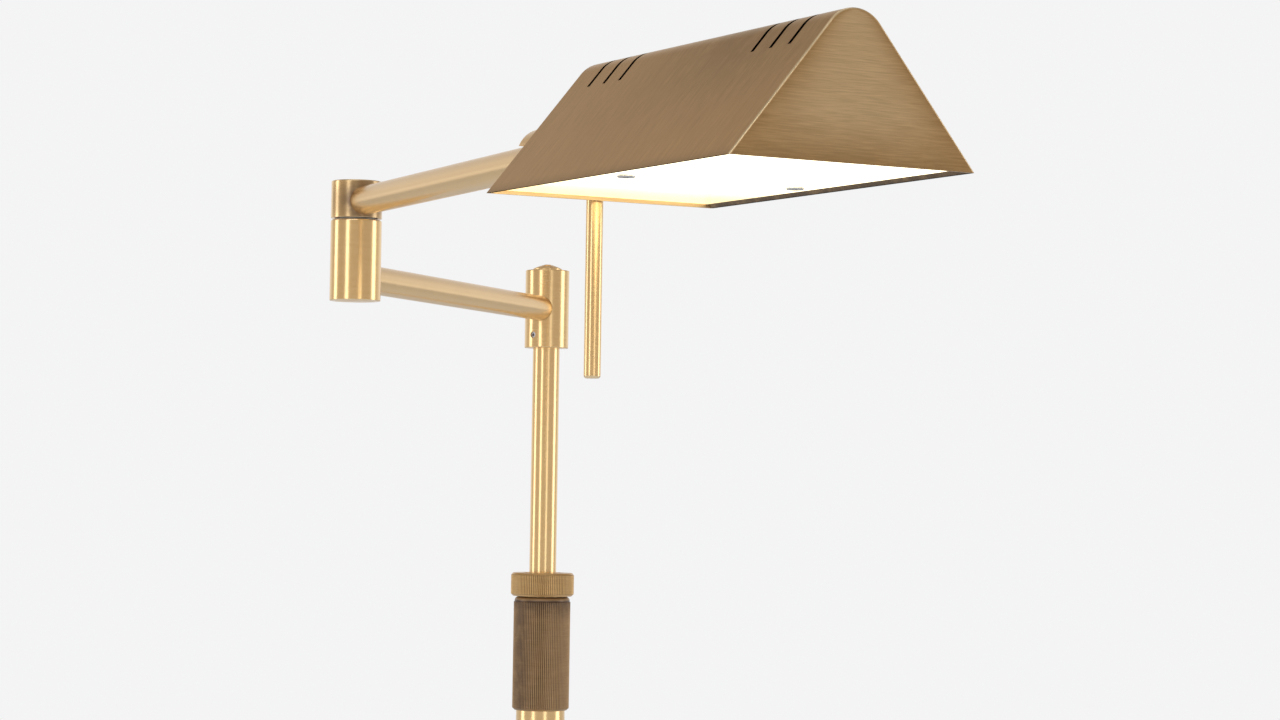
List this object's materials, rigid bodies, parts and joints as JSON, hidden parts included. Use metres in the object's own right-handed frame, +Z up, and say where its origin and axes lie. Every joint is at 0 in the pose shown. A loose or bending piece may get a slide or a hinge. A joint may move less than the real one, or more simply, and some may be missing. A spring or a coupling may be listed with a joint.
{
  "type": "bridge floor lamp",
  "caption": "Reading floor lamp: weighted round base, telescoping pole, two swing arms and a tilting tent shade with a light panel.",
  "frame": {"origin": "on the pole's axis at the underside of the base pad, where the lamp stands on the floor", "axes": "+Z up along the pole; +X to the right and -Y towards the viewer of the rest pose, with the shade reaching out towards -Y"},
  "size_m": [0.2818, 0.758, 1.066],
  "materials": {
    "felt": "felt pad",
    "iron": "painted casting",
    "brushed_brass": "antique brass, satin lacquer",
    "shade_brass": "antique brass, brushed",
    "knurled_brass": "antique brass, fine straight knurl",
    "dark_bronze": "dark bronzed brass, fine straight knurl",
    "bare_brass": "turned",
    "zinc_steel": "zinc plated",
    "nylon": "moulded",
    "black_plastic": "moulded",
    "lead_jacket": "extruded",
    "opal_acrylic": "polished opal acrylic",
    "aluminium_sheet": "mill finish",
    "board_white": "white solder mask on aluminium",
    "led_yellow": "phosphor"
  },
  "bodies": {
    "stand": {"base_pad": "felt", "base_weight": "iron", "base_cover": "brushed_brass", "cord_bushing": "black_plastic", "base_washer": "zinc_steel", "base_nut": "zinc_steel", "pole_stud": "bare_brass", "foot_plug": "bare_brass", "base_collar": "brushed_brass", "lower_pole": "brushed_brass", "middle_pole": "brushed_brass", "pole_coupler": "bare_brass", "clamp_socket": "bare_brass", "collet": "bare_brass", "grip_sleeve": "dark_bronze"},
    "clamp_ring": {"lock_ring": "knurled_brass"},
    "mast": {"upper_pole": "brushed_brass", "pole_glide": "nylon", "hub_spindle": "bare_brass", "hub_washer": "nylon", "hub_nut": "brushed_brass", "mast_lead": "lead_jacket"},
    "inner_arm": {"hub_body": "brushed_brass", "hub_set_screw": "zinc_steel", "inner_arm_tube": "brushed_brass", "inner_arm_lead": "lead_jacket", "elbow_barrel": "brushed_brass", "elbow_bottom_cover": "brushed_brass", "elbow_washer": "nylon"},
    "outer_arm": {"elbow_cap": "brushed_brass", "elbow_pin": "bare_brass", "elbow_nut": "zinc_steel", "elbow_spring_washer": "zinc_steel", "outer_arm_tube": "brushed_brass", "outer_arm_lead": "lead_jacket", "arm_tongue": "brushed_brass"},
    "knuckle": {"knuckle_barrel": "brushed_brass", "pivot_screws": "zinc_steel"},
    "head": {"tilt_disc": "brushed_brass", "handle_rod": "brushed_brass", "tilt_spindle": "bare_brass", "tilt_nut": "zinc_steel", "tilt_spring_washer": "zinc_steel", "head_washer": "zinc_steel", "head_nut": "zinc_steel", "shade": "shade_brass", "diffuser": "opal_acrylic", "heat_tray": "aluminium_sheet", "light_board": "board_white", "light_chips": "led_yellow", "driver_case": "black_plastic", "standoffs": "zinc_steel", "diffuser_screws": "zinc_steel", "head_leads": "lead_jacket"}
  },
  "joints": [
    {"name": "clamp_turn", "type": "hinge", "parent": "stand", "child": "clamp_ring", "pos_m": [0, 0, 0.8608], "axis": [0, 0, 1], "range_deg": [0, 180]},
    {"name": "pole_height", "type": "slide", "parent": "stand", "child": "mast", "axis": [0, 0, 1], "range_m": [-0.1, 0.205]},
    {"name": "hub_swivel", "type": "hinge", "parent": "mast", "child": "inner_arm", "pos_m": [0, 0, 1.002], "axis": [0, 0, 1], "range_deg": [-170, 170]},
    {"name": "elbow_swivel", "type": "hinge", "parent": "inner_arm", "child": "outer_arm", "pos_m": [-0.07787, -0.22913, 1.035], "axis": [0, 0, 1], "range_deg": [-193, 106]},
    {"name": "knuckle_swivel", "type": "hinge", "parent": "outer_arm", "child": "knuckle", "pos_m": [0.01522, -0.4332, 1.035], "axis": [0, 0, 1], "range_deg": [-25, 15]},
    {"name": "head_tilt", "type": "hinge", "parent": "knuckle", "child": "head", "pos_m": [0.01522, -0.4332, 1.035], "axis": [0.4988, -0.8667, 0], "range_deg": [-90, 90]}
  ]
}
